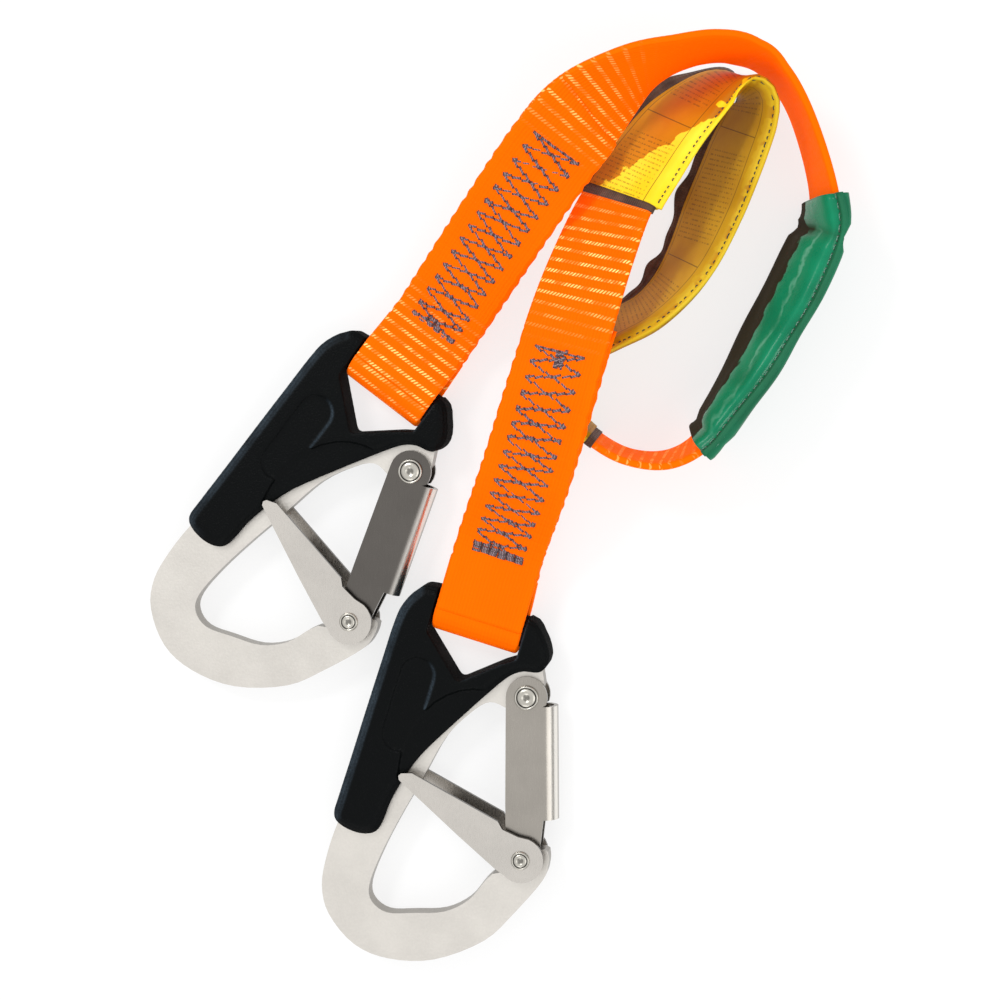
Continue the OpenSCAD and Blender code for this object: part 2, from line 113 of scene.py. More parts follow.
class Shader:
    """A material and short ways to add nodes to it. Inputs are numbers, colours or sockets."""

    def fill(self, socket, value):
        if isinstance(value, bpy.types.NodeSocket):
            self.tree.links.new(value, socket)
        elif hasattr(socket.default_value, "__len__") and len(socket.default_value) == 4:
            socket.default_value = (*value, 1)
        else:
            socket.default_value = value

    def __init__(self, name):
        self.mat = bpy.data.materials.new(name)
        self.mat.use_nodes = True
        self.tree = self.mat.node_tree
        self.bsdf = self.tree.nodes["Principled BSDF"]

    def set(self, given):
        for key, value in given.items():
            self.fill(self.bsdf.inputs[key], value)

    def add(self, kind, given=None, out=0, **settings):
        node = self.tree.nodes.new("ShaderNode" + kind)
        for key, value in settings.items():
            setattr(node, key, value)
        for key, value in (given or {}).items():
            self.fill(node.inputs[key], value)
        return node.outputs[out]

    def math(self, operation, a, b=0.0, c=0.0):
        return self.add("Math", {0: a, 1: b, 2: c}, operation=operation)

    def wave(self, value, period, phase=0.0):
        """A wave from 0 to 1 with that period along value."""
        turned = self.math("MULTIPLY_ADD", value, 2 * math.pi / period, phase)
        return self.math("MULTIPLY_ADD", self.math("SINE", turned), 0.5, 0.5)

    def ramp(self, value, low, high, to_low=0.0, to_high=1.0):
        return self.add(
            "MapRange",
            {0: value, 1: low, 2: high, 3: to_low, 4: to_high},
            interpolation_type="SMOOTHSTEP",
        )

    def mix(self, factor, a, b):
        return self.add("Mix", {0: factor, 6: a, 7: b}, out=2, data_type="RGBA")

    def cloudy(self, value, a, b):
        """Two colours, one running into the other as a noise rises."""
        return self.mix(self.ramp(value, 0.3, 0.7), a, b)

    def noise(self, scale, detail=3.0, vector=None, rough=0.5):
        given = {"Scale": scale, "Detail": detail, "Roughness": rough}
        given["Vector"] = vector if vector is not None else self.place()
        return self.add("TexNoise", given)

    def place(self):
        return self.add("TexCoord", out=3)

    def along(self):
        """Millimetres along the band and across it, from the piece's own coordinates."""
        uv = self.add("UVMap", uv_map="band")
        split = self.tree.nodes.new("ShaderNodeSeparateXYZ")
        self.tree.links.new(uv, split.inputs[0])
        return split.outputs[0], split.outputs[1]

    def bump(self, height, distance, strength=1.0):
        normal = self.add("Bump", {"Height": height, "Distance": distance, "Strength": strength})
        self.tree.links.new(normal, self.bsdf.inputs["Normal"])

    def attribute(self, name):
        return self.add("Attribute", out=2, attribute_name=name)

    def normal(self):
        return self.add("NewGeometry", out=1)

    def level(self):
        """1 on a face that looks straight up or down, 0 on a wall."""
        return self.math("ABSOLUTE", self.add("SeparateXYZ", {0: self.normal()}, out=2))


def steel(
    name, colour, rough, grain_scale, stretch=(1, 1, 1), turn=0.0, depth=0.00003,
    rim_highlight=None, wall_shade=None,
):
    """Ground or blasted steel. The rim colour is a painted highlight on its eased edges, the wall
    colour painted shade on its sides.
    """
    s = Shader(name)
    s.set({"Metallic": 1.0})
    moved = s.add("Mapping", {"Vector": s.place(), "Rotation": (0, 0, -turn), "Scale": stretch})
    grain = s.noise(grain_scale, 4, moved, 0.6)
    tone = s.cloudy(s.noise(90, 3), tuple(c * 0.92 for c in colour), colour)
    bright = tuple(min(1, c * 1.25) for c in colour)
    tone = s.mix(s.ramp(grain, 0.3, 0.75, 0, 0.16), tone, bright)
    # painted highlight on the eased edges and painted shade on the sides, by how level a face lies
    if rim_highlight:
        tone = s.mix(s.ramp(s.level(), 0.55, 0.985), rim_highlight, tone)
    if wall_shade:
        tone = s.mix(s.ramp(s.level(), 0.06, 0.45), wall_shade, tone)
    # painted shade in the rivets' grooves and centre recess
    tone = s.mix(s.attribute("hole"), tone, (0.03, 0.028, 0.025))
    s.set({"Base Color": tone})
    s.set({"Roughness": s.ramp(grain, 0.25, 0.8, rough - 0.03, rough + 0.05)})
    s.bump(grain, depth)
    return s.mat


TO_PAINTED_GLEAM = (-0.83, 0.22, 0.51)


def black_plastic():
    """Moulded grip: fine grain, and a painted cold highlight along the bevels that face up and to
    the left.
    """
    s = Shader("black_plastic")
    grain = s.noise(2100, 2)
    wide = s.noise(120, 3)
    # painted highlight: a cold gleam on the bevels that face one way, broken by noise
    facing = s.add(
        "VectorMath", {0: s.normal(), 1: TO_PAINTED_GLEAM}, out=1, operation="DOT_PRODUCT"
    )
    painted_gleam = s.math("MULTIPLY", s.ramp(facing, 0.56, 0.97), s.ramp(wide, 0.3, 0.7, 0.45, 1.0))
    painted_gleam = s.math("MULTIPLY", painted_gleam, s.ramp(grain, 0.3, 0.7, 0.5, 1.0))
    dull_walls = s.ramp(s.level(), 0.1, 0.6, 0.54, 0.0)
    s.set({
        "Base Color": s.mix(painted_gleam, (0.0012, 0.0018, 0.0020), (0.040, 0.056, 0.072)),
        "Specular IOR Level": 0.07,
        "Roughness": s.math("ADD", s.ramp(wide, 0.3, 0.7, 0.34, 0.46), dull_walls),
    })
    s.bump(grain, 0.0002, 0.9)
    return s.mat


# ORANGE_LIT colours painted glints, ORANGE_SHADED painted shade at the arch; the groove colour is
# painted shade between the cords, the edge colour painted light on the edges
ORANGE, ORANGE_DEEP, ORANGE_LIT = (1.0, 0.135, 0.0), (1.0, 0.115, 0.0), (1.0, 0.76, 0.22)
ORANGE_SHADED, ORANGE_GROOVE_SHADE, ORANGE_EDGE_LIGHT = (1.0, 0.125, 0.0), (0.75, 0.08, 0.0), (1.0, 0.17, 0.0)
CORD, RIB = 0.98, 3.1    # mm from one lengthwise cord, and from one cross rib, to the next


def webbing_cloth():
    """Tight lengthwise cords held down by cross ribs; painted glints where the band bends, painted
    shade and painted light.
    """
    s = Shader("orange_webbing")
    u, v = s.along()
    cords = s.wave(v, CORD)
    pick = s.math("ADD", s.wave(u, RIB / 2), s.math("MULTIPLY", s.wave(v, 2 * CORD), 0.8))
    height = s.math("ADD", s.math("MULTIPLY", cords, 0.55), s.math("MULTIPLY", pick, 0.22))
    groove = s.math("POWER", s.wave(u, RIB), 7.0)
    height = s.math("SUBTRACT", height, s.math("MULTIPLY", groove, 0.35))
    fuzz = s.noise(900, 3)
    # painted glints: slanted, broken pale dots in the grooves between the ribs, where the band
    # bends
    dots = s.ramp(s.wave(s.math("MULTIPLY_ADD", u, 0.75, v), CORD, 1.2), 0.25, 0.7)
    dots = s.math("MULTIPLY", dots, s.ramp(s.noise(260, 3), 0.40, 0.56, 0.15, 1.0))
    glint = s.math("MULTIPLY", s.ramp(groove, 0.05, 0.4), dots)
    glint = s.math("MULTIPLY", glint, s.attribute("glint"))
    colour = s.mix(s.ramp(s.noise(45, 3), 0.3, 0.7, 0.0, 0.35), ORANGE, ORANGE_DEEP)
    # painted shade at the arch
    colour = s.mix(s.attribute("deep"), colour, ORANGE_SHADED)
    # painted shade in the grooves between the cords
    colour = s.mix(s.ramp(cords, 0.0, 0.5, 0.12, 0.0), colour, ORANGE_GROOVE_SHADE)
    # painted light on the band's edges
    colour = s.mix(s.attribute("edge"), colour, ORANGE_EDGE_LIGHT)
    colour = s.mix(glint, colour, ORANGE_LIT)
    s.set({
        "Base Color": colour,
        "Roughness": s.ramp(fuzz, 0.2, 0.8, 0.55, 0.72),
        "Specular IOR Level": 0.02,
        # painted light: a glow that lifts the shade, most of all on the walls; the dye is
        # fluorescent, but the glow stands in for fill light
        "Emission Color": s.mix(s.ramp(s.level(), 0.2, 0.85, 0.0, 0.6), colour, (0, 0, 0)),
        "Emission Strength": 0.3,
    })
    s.bump(s.math("ADD", height, s.math("MULTIPLY", fuzz, 0.25)), 0.00016, 0.8)
    return s.mat


def thread(name, colour, other, hole=(0.035, 0.010, 0.012)):
    """Twisted thread, with painted shade where it goes down into its needle holes."""
    s = Shader(name)
    u, v = s.along()
    twist = s.wave(s.math("ADD", u, v), 0.75)
    tone = s.mix(s.attribute("hole"), s.mix(twist, colour, other), hole)
    s.set({"Base Color": tone, "Roughness": 0.6, "Sheen Weight": 0.1})
    s.bump(twist, 0.00008)
    return s.mat


def vinyl():
    """Green, in painted shadow below the sleeve's ridge, with a painted pale highlight streak
    along it.

    ridge is the distance below that ridge in mm, shade the painted shade it has besides."""
    s = Shader("green_vinyl")
    cloud = s.noise(55, 4)
    fine = s.noise(1500, 3)
    wrinkle = s.noise(150, 3)
    colour = s.cloudy(cloud, (0.002, 0.165, 0.075), (0.004, 0.245, 0.115))
    # painted shadow below the ridge, with painted shade in the pinch, on the flange, on the back
    # and inside
    below = s.math("ADD", s.attribute("ridge"), s.ramp(s.noise(240, 3), 0.3, 0.7, -0.9, 0.9))
    shade = s.math("MAXIMUM", s.ramp(below, -0.35, 0.5), s.attribute("shade"))
    # painted highlight: a pale streak a few mm above the shadow's edge
    above = s.ramp(s.noise(50, 2), 0.3, 0.7, 4.4, 7.2)
    painted_streak = s.math("ABSOLUTE", s.math("ADD", below, above))
    painted_streak = s.math("MULTIPLY", s.ramp(painted_streak, 0.1, 1.1, 1.0, 0.0), s.ramp(cloud, 0.42, 0.62))
    colour = s.mix(s.math("MULTIPLY", painted_streak, 0.5), colour, (0.20, 0.50, 0.36))
    colour = s.mix(shade, colour, (0.026, 0.021, 0.009))
    s.set({
        "Base Color": colour,
        "Roughness": s.math("MULTIPLY_ADD", shade, 0.7, s.ramp(cloud, 0.3, 0.7, 0.2, 0.32)),
        "Specular IOR Level": 0.16,
    })
    s.bump(s.math("ADD", s.math("MULTIPLY", fine, 0.1), wrinkle), 0.0005, 0.5)
    return s.mat


def label_cloth():
    """Coated yellow cloth: a plain border, fields of short generic dashes, a soft cloudy tone, a
    painted amber cast shadow and painted ochre shade on its run back.
    """
    s = Shader("yellow_label")
    u, v = s.along()
    cloud = s.noise(60, 4)
    yellow = s.cloudy(cloud, (0.95, 0.66, 0.012), (1.0, 0.80, 0.045))
    amber_shadow = s.cloudy(cloud, (0.50, 0.165, 0.003), (0.60, 0.24, 0.004))
    ochre_shade = s.cloudy(cloud, (0.41, 0.21, 0.006), (0.54, 0.31, 0.012))
    # short dashes in rows across the band, in blocks with clear gaps between them
    pitch, block_pitch, middle = 1.3, 37.0, -0.4
    row = s.math("DIVIDE", u, pitch)
    in_row = s.ramp(s.math("FRACT", row), 0.62, 0.72)
    cell = {0: s.math("MULTIPLY", v, 1.9), 1: s.math("MULTIPLY", s.math("FLOOR", row), 7.3)}
    words = s.ramp(s.noise(1.0, 1, s.add("CombineXYZ", cell)), 0.46, 0.52)
    block = s.ramp(s.wave(u, block_pitch, 0.8), 0.18, 0.24)
    side = s.math("ABSOLUTE", s.math("SUBTRACT", v, middle))
    inside = s.ramp(side, 9.0, 9.4, 1.0, 0.0)
    dashes = s.math("MULTIPLY", in_row, words)
    dashes = s.math("MULTIPLY", dashes, s.math("MULTIPLY", block, inside))
    # a line along each side, and one across between the blocks
    border = s.ramp(s.math("ABSOLUTE", s.math("SUBTRACT", side, 10.4)), 0.08, 0.22, 1.0, 0.0)
    in_block = s.math("FRACT", s.math("DIVIDE", s.math("ADD", u, 14.0), block_pitch))
    bar = s.math("LESS_THAN", in_block, 0.008)
    bar = s.math("MULTIPLY", bar, s.ramp(side, 10.3, 10.5, 1.0, 0.0))
    lines = s.math("MULTIPLY", s.math("MAXIMUM", border, bar), 0.7)
    ink = s.math("MAXIMUM", s.math("MULTIPLY", dashes, 0.5), lines)
    # painted cast shadow: amber lies on one side of a ragged line; its attribute is the distance
    # to that line in mm; ochre is painted shade on the run back
    ragged = s.math("ADD", s.attribute("amber_shadow"), s.ramp(s.noise(210, 2), 0.3, 0.7, -1.6, 1.6))
    colour = s.mix(s.attribute("ochre_shade"), s.mix(s.ramp(ragged, 0.0, 0.5), yellow, amber_shadow), ochre_shade)
    colour = s.mix(ink, colour, (0.09, 0.045, 0.008))
    s.set({"Base Color": colour, "Roughness": 0.55, "Specular IOR Level": 0.12})
    s.bump(s.noise(1400, 3), 0.00005, 0.5)
    return s.mat


def lining_cloth():
    s = Shader("dark_lining")
    u, v = s.along()
    weave = s.math("ADD", s.wave(u, 0.7), s.wave(v, 0.7))
    s.set({
        "Base Color": s.cloudy(s.noise(220, 3), (0.045, 0.018, 0.010), (0.10, 0.05, 0.03)),
        "Roughness": 0.85,
        "Sheen Weight": 0.15,
    })
    s.bump(weave, 0.0001)
    return s.mat


LEVER_FROM_GATE = (-1.8, -45.4)    # mm from the gate's pivot to the lever's, on an unturned hook


def hook_turn(n):
    """How far a hook is turned as it lies, in radians."""
    at_gate = Vector(JOINTS[f"gate_{n}_swing"]["pos_m"])
    down = Vector(JOINTS[f"lever_{n}_squeeze"]["pos_m"]) - at_gate
    turn = math.atan2(down.y, down.x) - math.atan2(LEVER_FROM_GATE[1], LEVER_FROM_GATE[0])
    return turn + 2 * math.pi if turn < -math.pi else turn


WEBBING = webbing_cloth()
BLACK = black_plastic()
GREEN = vinyl()
LABEL = label_cloth()
LINING = lining_cloth()
GREY_THREAD = thread("grey_thread", (0.075, 0.040, 0.050), (0.33, 0.245, 0.27))
BLACK_THREAD = thread("black_thread", (0.012, 0.011, 0.01), (0.05, 0.045, 0.04))
PALE_THREAD = thread("pale_thread", (0.02, 0.20, 0.12), (0.28, 0.52, 0.40))
RED_THREAD = thread("red_thread", (0.35, 0.02, 0.02), (0.6, 0.06, 0.05))
RIVET = steel("rivet_steel", (0.50, 0.48, 0.43), 0.3, 900)
SPRING = steel("spring_steel", (0.30, 0.30, 0.31), 0.35, 900)

# ---------------------------------------------------------------- floor

floor_mesh = bpy.data.meshes.new("floor")
corners = [(x, y, 0) for x, y in ((-4, -4), (4, -4), (4, 4), (-4, 4))]
floor_mesh.from_pydata(corners, [], [(0, 1, 2, 3)])
floor = bpy.data.objects.new("floor", floor_mesh)
bpy.context.scene.collection.objects.link(floor)
pale = Shader("floor")
pale.set({"Base Color": (0.25, 0.25, 0.25), "Roughness": 0.8, "Specular IOR Level": 0.1})
pale.set({"Emission Color": (1, 1, 1), "Emission Strength": 0.74})
floor_mesh.materials.append(pale.mat)

# ---------------------------------------------------------------- the band's route

BASE = np.array((1.52, 3.53, -0.05)) * MM
HOOK_Z = 7.0 * MM
LOOP_MID = 5.75 * MM
LAYER_STEP = 2.05 * MM
WIDTH = 25 * MM
THICK = 2 * MM
BAR = [np.array(JOINTS[f"hook_{n}_swing"]["pos_m"]) - BASE for n in (1, 2)]
# Middle of the band in metres, then where its upper edge points: azimuth and elevation
ROUTE = [
    (BAR[0][0], BAR[0][1], HOOK_Z - LOOP_MID, 143, 0),
    (-0.0163, 0.0493, 0.0074, 143, 0),
    (0.0078, 0.0812, 0.0212, 143, 3),
    (0.0193, 0.0962, 0.0257, 143, 15),
    (0.0275, 0.1050, 0.0280, 143, 35),
    (0.0380, 0.1128, 0.0285, 130, 62),
    (0.0480, 0.1176, 0.0265, 95, 78),
    (0.0580, 0.1203, 0.0233, 60, 80),
    (0.0670, 0.1198, 0.0195, 50, 81),
    (0.0750, 0.1154, 0.0163, 40, 82),
    (0.0825, 0.1035, 0.0137, 14, 81),
    (0.0885, 0.0820, 0.0139, -8, 76),
    (0.0860, 0.0690, 0.0140, -22, 66),
    (0.0740, 0.0450, 0.0140, -27, 67),
    (0.0625, 0.0255, 0.0142, -30, 76),
    (0.0560, 0.0170, 0.01415, -40, 80),
    (0.0470, 0.0125, 0.0130, -65, 84),
    (0.0370, 0.0132, 0.0130, -90, 87),
    (0.0285, 0.0176, 0.0134, -100, 88),
    (0.0220, 0.0240, 0.0138, -60, 86),
    (0.0200, 0.0325, 0.0138, -45, 82),
    (0.0240, 0.0410, 0.0136, -50, 76),
    (0.0320, 0.0468, 0.0134, -55, 70),
    (0.0430, 0.0530, 0.0133, -46, 68),
    (0.0525, 0.0640, 0.0130, -29, 62),
    (0.0593, 0.0790, 0.0126, -19, 56),
    (0.0650, 0.0935, 0.0124, -14, 56),
    (0.0688, 0.1025, 0.0128, -15, 60),
    (0.0700, 0.1085, 0.0133, -20, 65),
    (0.0665, 0.1123, 0.0138, -28, 66),
    (0.0595, 0.1108, 0.0148, -36, 60),
    (0.0500, 0.1027, 0.0173, -41, 50),
    (0.0410, 0.0910, 0.0200, -38, 42),
    (0.0340, 0.0803, 0.0225, -30, 37),
    (0.0283, 0.0660, 0.0264, -20, 28),
    (0.0235, 0.0510, 0.0298, -17, 20),
    (0.0175, 0.0305, 0.0308, -16.5, 13),
    (0.0100, 0.0080, 0.0240, -16.5, 6),
    (0.0015, -0.0132, 0.0126, -16.5, 0),
    (BAR[1][0], BAR[1][1], HOOK_Z + LOOP_MID, -16.5, 0),
]
# route numbers where things on the band begin and end
TAIL_1, SLEEVE_TOP, SLEEVE_END, LABEL_START, LABEL_END = 4, 11, 15, 18, 33
TAIL_2, JOIN_2 = 35, 38
TURN_TOP = 29.4    # where the label turns over
LEG_TURNS = (math.radians(53), math.radians(73.5))
FINE = 0.75 * MM


def spline(a, b, c, d, t):
    return (
        2 * b + (c - a) * t + (2 * a - 5 * b + 4 * c - d) * t**2 + (3 * b - a - 3 * c + d) * t**3
    ) / 2


def between(points, i, t):
    last = len(points) - 1
    return spline(points[max(i - 1, 0)], points[i], points[i + 1], points[min(i + 2, last)], t)


def smooth_rings(places, edges, parts):
    """Rings an even step apart along a smooth line; parts is the steps it's first cut into."""
    last = len(places) - 2
    dense = [(i, k / parts) for i in range(last + 1) for k in range(parts)] + [(last, 1.0)]
    return rings(
        *resampled(
            [between(places, i, t) for i, t in dense],
            [between(edges, i, t) for i, t in dense],
            [i + t for i, t in dense],
        )
    )


def unit(v):
    return v / np.linalg.norm(v)


def upper_edge(azimuth, elevation):
    a, e = math.radians(azimuth), math.radians(elevation)
    return np.array((math.cos(a) * math.cos(e), math.sin(a) * math.cos(e), math.sin(e)))


class Ring:
    """A place on a band: its middle, three directions, its number on the route, its distance."""

    def __init__(self, place, forward, across, number, far=0.0):
        self.place, self.forward, self.across = place, forward, across
        self.out = np.cross(forward, across)
        self.number, self.far = number, far

    def moved(self, across, out):
        p = self.place + self.across * across + self.out * out
        return Ring(p, self.forward, self.across, self.number, self.far)


def rings(places, edges, numbers):
    """Rings through those places. The first and last face level, to meet the loops."""
    made, far = [], 0.0
    for i, p in enumerate(places):
        step = places[min(i + 1, len(places) - 1)] - places[max(i - 1, 0)]
        if i in (0, len(places) - 1):
            step = step * np.array((1, 1, 0))
        forward = unit(step)
        across = unit(edges[i] - (edges[i] @ forward) * forward)
        if i:
            far += np.linalg.norm(p - places[i - 1])
        made.append(Ring(p, forward, across, numbers[i], far))
    return made


def resampled(places, edges, numbers):
    """The same line with points about FINE apart, evenly."""
    places = np.array(places)
    far = np.concatenate(([0], np.cumsum(np.linalg.norm(np.diff(places, axis=0), axis=1))))
    count = max(2, round(far[-1] / FINE))
    at = np.linspace(0, far[-1], count + 1)

    def read(values):
        values = np.array(values)
        return np.stack([np.interp(at, far, values[:, k]) for k in range(values.shape[1])], 1)

    return read(places), read(edges), np.interp(at, far, numbers)


route_places = [np.array(r[:3]) + BASE for r in ROUTE]
route_edges = [upper_edge(*r[3:]) for r in ROUTE]
band = smooth_rings(route_places, route_edges, 24)


def stretch(first, last):
    return [r for r in band if first <= r.number <= last]


def ring_at(line, far):
    """The ring of a line nearest to a distance from its start."""
    start = line[0].far
    return min(line, key=lambda r: abs(abs(r.far - start) - far))


def tail_line(bar, turn, lead, layer):
    """A sewn tail's rings: out from the bar over its lead points, then along the layer."""
    places = [
        np.array((BAR[bar][0] + d * math.cos(turn), BAR[bar][1] + d * math.sin(turn), z)) + BASE
        for d, z in lead
    ]
    picked = layer[::8] + [layer[-1]]
    edge = route_edges[0 if bar == 0 else -1]
    return smooth_rings(
        places + [r.place for r in picked],
        [edge] * len(places) + [r.across for r in picked],
        8,
    )


tail_1 = tail_line(
    0,
    LEG_TURNS[0],
    [(0, HOOK_Z + LOOP_MID), (6 * MM, 12.7 * MM), (12.5 * MM, 10.6 * MM)],
    [r.moved(0, LAYER_STEP) for r in stretch(1, TAIL_1)],
)
tail_2 = tail_line(
    1,
    LEG_TURNS[1],
    [(0, HOOK_Z - LOOP_MID), (6 * MM, 2.1 * MM), (12.5 * MM, 6.2 * MM)],
    [r.moved(0, -LAYER_STEP) for r in reversed(stretch(TAIL_2, JOIN_2))],
)

# ---------------------------------------------------------------- mesh helpers


def shade_smooth(mesh):
    mesh.polygons.foreach_set("use_smooth", [True] * len(mesh.polygons))


def build(name, verts, faces, material, uvs=None, floats=None):
    """A mesh object. uvs has one pair per face corner; floats are values per vertex."""
    mesh = bpy.data.meshes.new(name)
    mesh.from_pydata([tuple(v) for v in verts], [], faces)
    if uvs is not None:
        mesh.uv_layers.new(name="band").data.foreach_set("uv", np.array(uvs, float).ravel())
    for key, values in (floats or {}).items():
        mesh.attributes.new(key, "FLOAT", "POINT").data.foreach_set("value", values)
    shade_smooth(mesh)
    mesh.materials.append(material)
    mesh.update()
    o = bpy.data.objects.new(name, mesh)
    bpy.context.scene.collection.objects.link(o)
    return o


def strip_section(width, thick, flats=12, corner=3):
    """Points (across, out) round a flat strip with rounded edges, from the middle of its front."""
    r = thick / 2 * 0.98
    half = width / 2 - r
    points = [(-half + 2 * half * k / flats, thick / 2) for k in range(flats + 1)]
    for k in range(1, 2 * corner):
        a = math.pi / 2 - math.pi * k / (2 * corner)
        points.append((half + r * math.cos(a), thick / 2 * math.sin(a)))
    points += [(half - 2 * half * k / flats, -thick / 2) for k in range(flats + 1)]
    for k in range(1, 2 * corner):
        a = -math.pi / 2 - math.pi * k / (2 * corner)
        points.append((-half + r * math.cos(a), thick / 2 * math.sin(a)))
    return points


def sweep_mesh(line, section, shape=None, inner=None):
    """Vertices, faces and UVs (mm along, mm across) of a section swept along a line.

    shape(ring, across, out) may move a section's point. With inner, a second section of as
    many points, the result is a tube with a wall; otherwise its ends are closed."""
    verts, faces, uvs = [], [], []
    m = len(section)
    loops = [section] + ([inner] if inner else [])
    for sec in loops:
        for r in line:
            for a, o in sec:
                if shape:
                    a, o = shape(r, a, o)
                verts.append(r.place + r.across * a + r.out * o)
    n = len(line)

    def uv(i, k):
        return (line[i].far / MM, section[k][0] / MM)

    for layer in range(len(loops)):
        base = layer * n * m
        for i in range(n - 1):
            for k in range(m):
                l = (k + 1) % m
                corner = [(i, k), (i, l), (i + 1, l), (i + 1, k)]
                quad = [base + row * m + column for row, column in corner]
                if layer == 0:
                    quad.reverse()
                    corner.reverse()
                faces.append(quad)
                uvs += [uv(*q) for q in corner]
    if inner:
        for i, flip in ((0, True), (n - 1, False)):
            for k in range(m):
                l = (k + 1) % m
                quad = [i * m + k, i * m + l, n * m + i * m + l, n * m + i * m + k]
                corner = [(i, k), (i, l), (i, l), (i, k)]
                if not flip:
                    quad.reverse()
                    corner.reverse()
                faces.append(quad)
                uvs += [uv(*q) for q in corner]
    else:
        for i, order in ((0, -1), (n - 1, 1)):
            faces.append([i * m + k for k in range(m)][::order])
            uvs += [uv(i, k) for k in range(m)][::order]
    return verts, faces, uvs


def consistent(o):
    """Turns every face's normal outwards."""
    bm = bmesh.new()
    bm.from_mesh(o.data)
    bmesh.ops.recalc_face_normals(bm, faces=bm.faces)
    bm.to_mesh(o.data)
    bm.free()
    return o


def bump_curve(x, centre, width):
    """A smooth bump of height 1 at centre that fades to 0 at centre +- width."""
    t = min(1.0, abs(x - centre) / width)
    return (1 - t * t) ** 2


# ---------------------------------------------------------------- the band

ROW_STEP = 4.4 * MM
STITCH_FROM = 20 * MM
STITCH_ROWS = 15
band_length = band[-1].far
stitch_end = STITCH_FROM + (STITCH_ROWS - 1) * ROW_STEP


def sewn(near):
    """1 where the legs are stitched, near being the distance from the bar."""
    return 1.0 if STITCH_FROM - ROW_STEP < near < stitch_end + ROW_STEP else 0.0


def band_shape(r, a, o, total=band_length):
    """Ribs across the band, and edges that the sewing draws in row by row."""
    near = min(r.far, total - r.far) if total else r.far
    side = max(0.0, (abs(a) - WIDTH * 0.36) / (WIDTH * 0.14))
    ripple = 0.5 - 0.5 * math.cos(2 * math.pi * (near - STITCH_FROM) / ROW_STEP)
    rib = math.cos(2 * math.pi * near / (RIB * MM))
    a -= math.copysign((0.34 * MM * (1 - ripple) * sewn(near) + 0.09 * MM * rib) * side, a)
    return a, o + math.copysign(0.04 * MM * rib, o) * (1 - min(1.0, side))


def band_floats(line, glints, deep=()):
    """Per-vertex tints: where the ribs get painted glints, where the cloth gets painted shade, and
    its edges in painted light.

    The glints and the painted shade each list bumps: how far along their centre is, their reach in
    mm, their height."""
    glint, dark, edge = [], [], []
    for r in line:
        g = max([0.0] + [h * bump_curve(r.far, c * MM, w * MM) for c, w, h in glints])
        d = max([0.0] + [h * bump_curve(r.far, c * MM, w * MM) for c, w, h in deep])
        for a, o in band_section:
            glint.append(g)
            dark.append(d)
            # painted light on the band's edges
            edge.append(0.25 * max(0.0, (abs(a) - WIDTH * 0.42) / (WIDTH * 0.08)))
    return {"glint": glint, "deep": dark, "edge": edge}


band_section = strip_section(WIDTH, THICK)
verts, faces, uvs = sweep_mesh(band, band_section, band_shape)
far_of = {n: min(band, key=lambda r: abs(r.number - n)).far / MM for n in range(len(ROUTE))}
webbing = consistent(
    build(
        "band", verts, faces, WEBBING, uvs,
        band_floats(
            band,
            # painted glints where the band bends, then painted shade at the arch
            [(2, 16, 0.9), (far_of[4] - 4, 26, 0.75), (far_of[34] + 2, 24, 1.0),
             (far_of[16] + 4, 26, 0.4)],
            [(far_of[7], 40, 0.75), (far_of[10], 30, 0.4)],
        ),
    )
)
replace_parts(webbing, "webbing")


def eye(n):
    """The loop of the band round a hook's bar."""
    turn = LEG_TURNS[n - 1]
    out_way = np.array((math.cos(turn), math.sin(turn), 0))
    along_bar = np.array((math.sin(turn), -math.cos(turn), 0))
    centre = np.array(JOINTS[f"hook_{n}_swing"]["pos_m"])
    line, steps = [], 26
    for k in range(steps + 1):
        a = math.pi / 2 + math.pi * k / steps
        radial = out_way * math.cos(a) + np.array((0, 0, 1)) * math.sin(a)
        far = LOOP_MID * math.pi * k / steps
        r = Ring(centre + radial * LOOP_MID, np.cross(along_bar, radial), along_bar, 0, far)
        r.out = radial
        line.append(r)
    verts, faces, uvs = sweep_mesh(line, band_section)
    # painted glints on the first eye only
    o = consistent(build(f"eye_{n}", verts, faces, WEBBING, uvs,
                         band_floats(line, [(0, 14, 0.6 if n == 1 else 0.0)])))
    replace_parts(o, f"webbing_eye_{n}")
    return o


def tail(n, line, glints):
    """A sewn end; its cut edge is pressed thin against the band that it lies on."""
    side = 1 if n == 1 else -1

    def shape(r, a, o):
        a, o = band_shape(r, a, o, total=0)
        thin = max(0.0, 1 - (line[-1].far - r.far) / (6 * MM)) ** 2
        return a, o - (o * side + THICK / 2) * side * 0.85 * thin

    verts, faces, uvs = sweep_mesh(line, band_section, shape)
    o = consistent(build(f"tail_{n}", verts, faces, WEBBING, uvs, band_floats(line, glints)))
    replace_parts(o, f"webbing_tail_{n}")
    return o


eyes = [eye(1), eye(2)]
# the first tail gets painted glints
tails = [
    tail(1, tail_1, [(6, 26, 0.85), (tail_1[-1].far / MM, 14, 0.7)]),
    tail(2, tail_2, []),
]

# ---------------------------------------------------------------- threads


STITCH_GAP = 0.04    # share of a stitch left free between it and the next
ZIGZAG_HALF = 7.3 * MM


